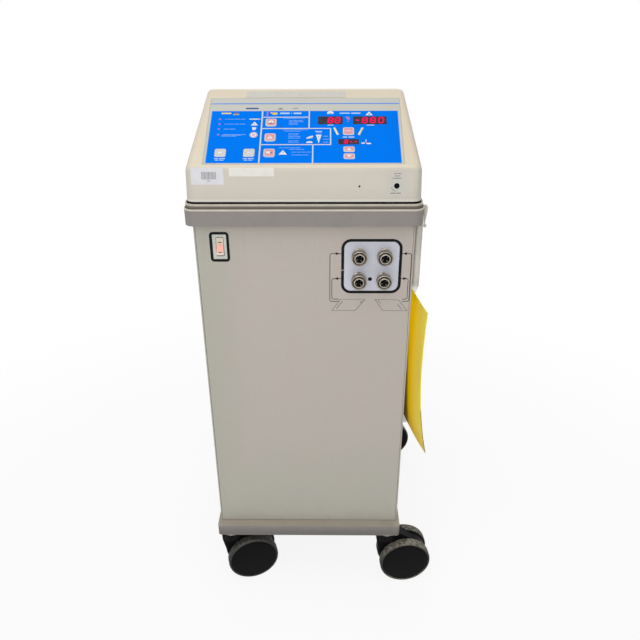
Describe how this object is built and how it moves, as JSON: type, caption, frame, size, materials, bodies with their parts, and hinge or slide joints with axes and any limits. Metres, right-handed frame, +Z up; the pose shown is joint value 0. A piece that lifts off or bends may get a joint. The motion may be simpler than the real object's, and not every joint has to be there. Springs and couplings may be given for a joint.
{
  "type": "hot cold therapy machine",
  "caption": "Water heating and cooling therapy cart on swivel casters, with a sloped key panel, displays, hose couplings, a power rocker and a side document pocket.",
  "frame": {"origin": "on the floor, under the middle of the bounding box", "axes": "+Z up, the control panel and couplings face -Y, +X is to the right seen from the front"},
  "size_m": [0.4234, 0.4672, 0.9255],
  "materials": {
    "taupe_moulding": "satin, dusty",
    "beige_paint": "satin",
    "ivory_moulding": "satin",
    "overlay_film": "semi-gloss printed film",
    "display_window": "gloss",
    "circuit_board": "satin",
    "black_plastic": "satin",
    "pale_plastic": "satin",
    "rocker_lens": "gloss",
    "pink_key": "semi-gloss",
    "grey_key": "semi-gloss",
    "coupling_plate": "satin",
    "tank_plastic": "satin",
    "steel": "brushed",
    "grey_casting": "cast",
    "black_can": "semi-gloss",
    "fin_metal": "bare",
    "nickel": "worn plating",
    "caster_black": "satin",
    "tread_rubber": "matt, dusty",
    "clear_vinyl": "translucent",
    "yellow_card": "matt"
  },
  "bodies": {
    "cart": {"base_plate": "taupe_moulding", "top_collar": "taupe_moulding", "cabinet_shell": "beige_paint", "front_panel": "beige_paint", "rear_panel": "beige_paint", "power_inlet": "black_plastic", "head_housing": "ivory_moulding", "control_overlay": "overlay_film", "water_display": "display_window", "patient_display": "display_window", "setpoint_display": "display_window", "control_board": "circuit_board", "probe_jack": "black_plastic", "switch_body": "pale_plastic", "coupling_plate": "coupling_plate", "water_reservoir": "tank_plastic", "water_heater": "steel", "water_pump": "grey_casting", "compressor": "black_can", "condenser": "fin_metal", "fan_motor": "grey_casting", "power_supply": "steel", "document_pocket": "clear_vinyl", "pocket_hook": "clear_vinyl", "caster_stem_front_right": "steel", "caster_stem_front_left": "steel", "caster_stem_rear_right": "steel", "caster_stem_rear_left": "steel", "coupling_body_upper_left": "nickel", "coupling_body_upper_right": "nickel", "coupling_body_lower_left": "nickel", "coupling_body_lower_right": "nickel"},
    "caster_front_right": {"caster_hood_front_right": "caster_black"},
    "wheel_front_right_a": {"caster_wheel_front_right_a": "tread_rubber"},
    "wheel_front_right_b": {"caster_wheel_front_right_b": "tread_rubber"},
    "caster_front_left": {"caster_hood_front_left": "caster_black"},
    "wheel_front_left_a": {"caster_wheel_front_left_a": "tread_rubber"},
    "wheel_front_left_b": {"caster_wheel_front_left_b": "tread_rubber"},
    "caster_rear_right": {"caster_hood_rear_right": "caster_black"},
    "wheel_rear_right_a": {"caster_wheel_rear_right_a": "tread_rubber"},
    "wheel_rear_right_b": {"caster_wheel_rear_right_b": "tread_rubber"},
    "caster_rear_left": {"caster_hood_rear_left": "caster_black"},
    "wheel_rear_left_a": {"caster_wheel_rear_left_a": "tread_rubber"},
    "wheel_rear_left_b": {"caster_wheel_rear_left_b": "tread_rubber"},
    "alarm_silence_button": {"alarm_silence_button": "grey_key"},
    "display_test_button": {"display_test_button": "grey_key"},
    "manual_mode_button": {"manual_mode_button": "pink_key"},
    "auto_mode_button": {"auto_mode_button": "pink_key"},
    "monitor_mode_button": {"monitor_mode_button": "pink_key"},
    "set_button": {"set_button": "pink_key"},
    "up_button": {"up_button": "pink_key"},
    "down_button": {"down_button": "pink_key"},
    "power_rocker": {"power_rocker": "rocker_lens"},
    "coupling_sleeve_upper_left": {"coupling_sleeve_upper_left": "nickel"},
    "coupling_sleeve_upper_right": {"coupling_sleeve_upper_right": "nickel"},
    "coupling_sleeve_lower_left": {"coupling_sleeve_lower_left": "nickel"},
    "coupling_sleeve_lower_right": {"coupling_sleeve_lower_right": "nickel"},
    "fan_blade": {"fan_blade": "black_plastic"},
    "fill_cap": {"fill_cap": "black_plastic"},
    "document_folder": {"document_folder": "yellow_card"}
  },
  "joints": [
    {"name": "caster_swivel_front_right", "type": "hinge", "parent": "cart", "child": "caster_front_right", "pos_m": [0.12229, -0.20278, 0.11], "axis": [0, 0, 1], "continuous": true},
    {"name": "wheel_spin_front_right_a", "type": "hinge", "parent": "caster_front_right", "child": "wheel_front_right_a", "pos_m": [0.15809, -0.19902, 0.05], "axis": [-0.1045, 0.9945, 0], "continuous": true},
    {"name": "wheel_spin_front_right_b", "type": "hinge", "parent": "caster_front_right", "child": "wheel_front_right_b", "pos_m": [0.15809, -0.19902, 0.05], "axis": [-0.1045, 0.9945, 0], "continuous": true},
    {"name": "caster_swivel_front_left", "type": "hinge", "parent": "cart", "child": "caster_front_left", "pos_m": [-0.18371, -0.20278, 0.11], "axis": [0, 0, 1], "continuous": true},
    {"name": "wheel_spin_front_left_a", "type": "hinge", "parent": "caster_front_left", "child": "wheel_front_left_a", "pos_m": [-0.14911, -0.19286, 0.05], "axis": [-0.2756, 0.9613, 0], "continuous": true},
    {"name": "wheel_spin_front_left_b", "type": "hinge", "parent": "caster_front_left", "child": "wheel_front_left_b", "pos_m": [-0.14911, -0.19286, 0.05], "axis": [-0.2756, 0.9613, 0], "continuous": true},
    {"name": "caster_swivel_rear_right", "type": "hinge", "parent": "cart", "child": "caster_rear_right", "pos_m": [0.12229, 0.18422, 0.11], "axis": [0, 0, 1], "continuous": true},
    {"name": "wheel_spin_rear_right_a", "type": "hinge", "parent": "caster_rear_right", "child": "wheel_rear_right_a", "pos_m": [0.1575, 0.19171, 0.05], "axis": [-0.2079, 0.9781, 0], "continuous": true},
    {"name": "wheel_spin_rear_right_b", "type": "hinge", "parent": "caster_rear_right", "child": "wheel_rear_right_b", "pos_m": [0.1575, 0.19171, 0.05], "axis": [-0.2079, 0.9781, 0], "continuous": true},
    {"name": "caster_swivel_rear_left", "type": "hinge", "parent": "cart", "child": "caster_rear_left", "pos_m": [-0.18371, 0.18422, 0.11], "axis": [0, 0, 1], "continuous": true},
    {"name": "wheel_spin_rear_left_a", "type": "hinge", "parent": "caster_rear_left", "child": "wheel_rear_left_a", "pos_m": [-0.14894, 0.19354, 0.05], "axis": [-0.2588, 0.9659, 0], "continuous": true},
    {"name": "wheel_spin_rear_left_b", "type": "hinge", "parent": "caster_rear_left", "child": "wheel_rear_left_b", "pos_m": [-0.14894, 0.19354, 0.05], "axis": [-0.2588, 0.9659, 0], "continuous": true},
    {"name": "alarm_silence_press", "type": "slide", "parent": "cart", "child": "alarm_silence_button", "axis": [0, 0.5256, -0.8508], "range_m": [0, 0.0008], "stiffness_N_per_m": 300, "springref_m": -0.001},
    {"name": "display_test_press", "type": "slide", "parent": "cart", "child": "display_test_button", "axis": [0, 0.5256, -0.8508], "range_m": [0, 0.0008], "stiffness_N_per_m": 300, "springref_m": -0.001},
    {"name": "manual_mode_press", "type": "slide", "parent": "cart", "child": "manual_mode_button", "axis": [0, 0.5256, -0.8508], "range_m": [0, 0.0008], "stiffness_N_per_m": 300, "springref_m": -0.001},
    {"name": "auto_mode_press", "type": "slide", "parent": "cart", "child": "auto_mode_button", "axis": [0, 0.5256, -0.8508], "range_m": [0, 0.0008], "stiffness_N_per_m": 300, "springref_m": -0.001},
    {"name": "monitor_mode_press", "type": "slide", "parent": "cart", "child": "monitor_mode_button", "axis": [0, 0.5256, -0.8508], "range_m": [0, 0.0008], "stiffness_N_per_m": 300, "springref_m": -0.001},
    {"name": "set_press", "type": "slide", "parent": "cart", "child": "set_button", "axis": [0, 0.5256, -0.8508], "range_m": [0, 0.0008], "stiffness_N_per_m": 300, "springref_m": -0.001},
    {"name": "up_press", "type": "slide", "parent": "cart", "child": "up_button", "axis": [0, 0.5256, -0.8508], "range_m": [0, 0.0008], "stiffness_N_per_m": 300, "springref_m": -0.001},
    {"name": "down_press", "type": "slide", "parent": "cart", "child": "down_button", "axis": [0, 0.5256, -0.8508], "range_m": [0, 0.0008], "stiffness_N_per_m": 300, "springref_m": -0.001},
    {"name": "power_rocker_tilt", "type": "hinge", "parent": "cart", "child": "power_rocker", "pos_m": [-0.16231, -0.20428, 0.7114], "axis": [1, 0, 0], "range_deg": [0, 16]},
    {"name": "coupling_sleeve_pull_upper_left", "type": "slide", "parent": "cart", "child": "coupling_sleeve_upper_left", "axis": [0, 1, 0], "range_m": [0, 0.0035], "stiffness_N_per_m": 800, "springref_m": -0.002},
    {"name": "coupling_sleeve_pull_upper_right", "type": "slide", "parent": "cart", "child": "coupling_sleeve_upper_right", "axis": [0, 1, 0], "range_m": [0, 0.0035], "stiffness_N_per_m": 800, "springref_m": -0.002},
    {"name": "coupling_sleeve_pull_lower_left", "type": "slide", "parent": "cart", "child": "coupling_sleeve_lower_left", "axis": [0, 1, 0], "range_m": [0, 0.0035], "stiffness_N_per_m": 800, "springref_m": -0.002},
    {"name": "coupling_sleeve_pull_lower_right", "type": "slide", "parent": "cart", "child": "coupling_sleeve_lower_right", "axis": [0, 1, 0], "range_m": [0, 0.0035], "stiffness_N_per_m": 800, "springref_m": -0.002},
    {"name": "fan_spin", "type": "hinge", "parent": "cart", "child": "fan_blade", "pos_m": [-0.03071, 0.12222, 0.2613], "axis": [0, 1, 0], "continuous": true},
    {"name": "fill_cap_lift", "type": "slide", "parent": "cart", "child": "fill_cap", "axis": [0, 0, 1], "range_m": [0, 0.06]},
    {"name": "document_folder_lift", "type": "slide", "parent": "cart", "child": "document_folder", "axis": [0, 0, 1], "range_m": [0, 0.12]}
  ]
}
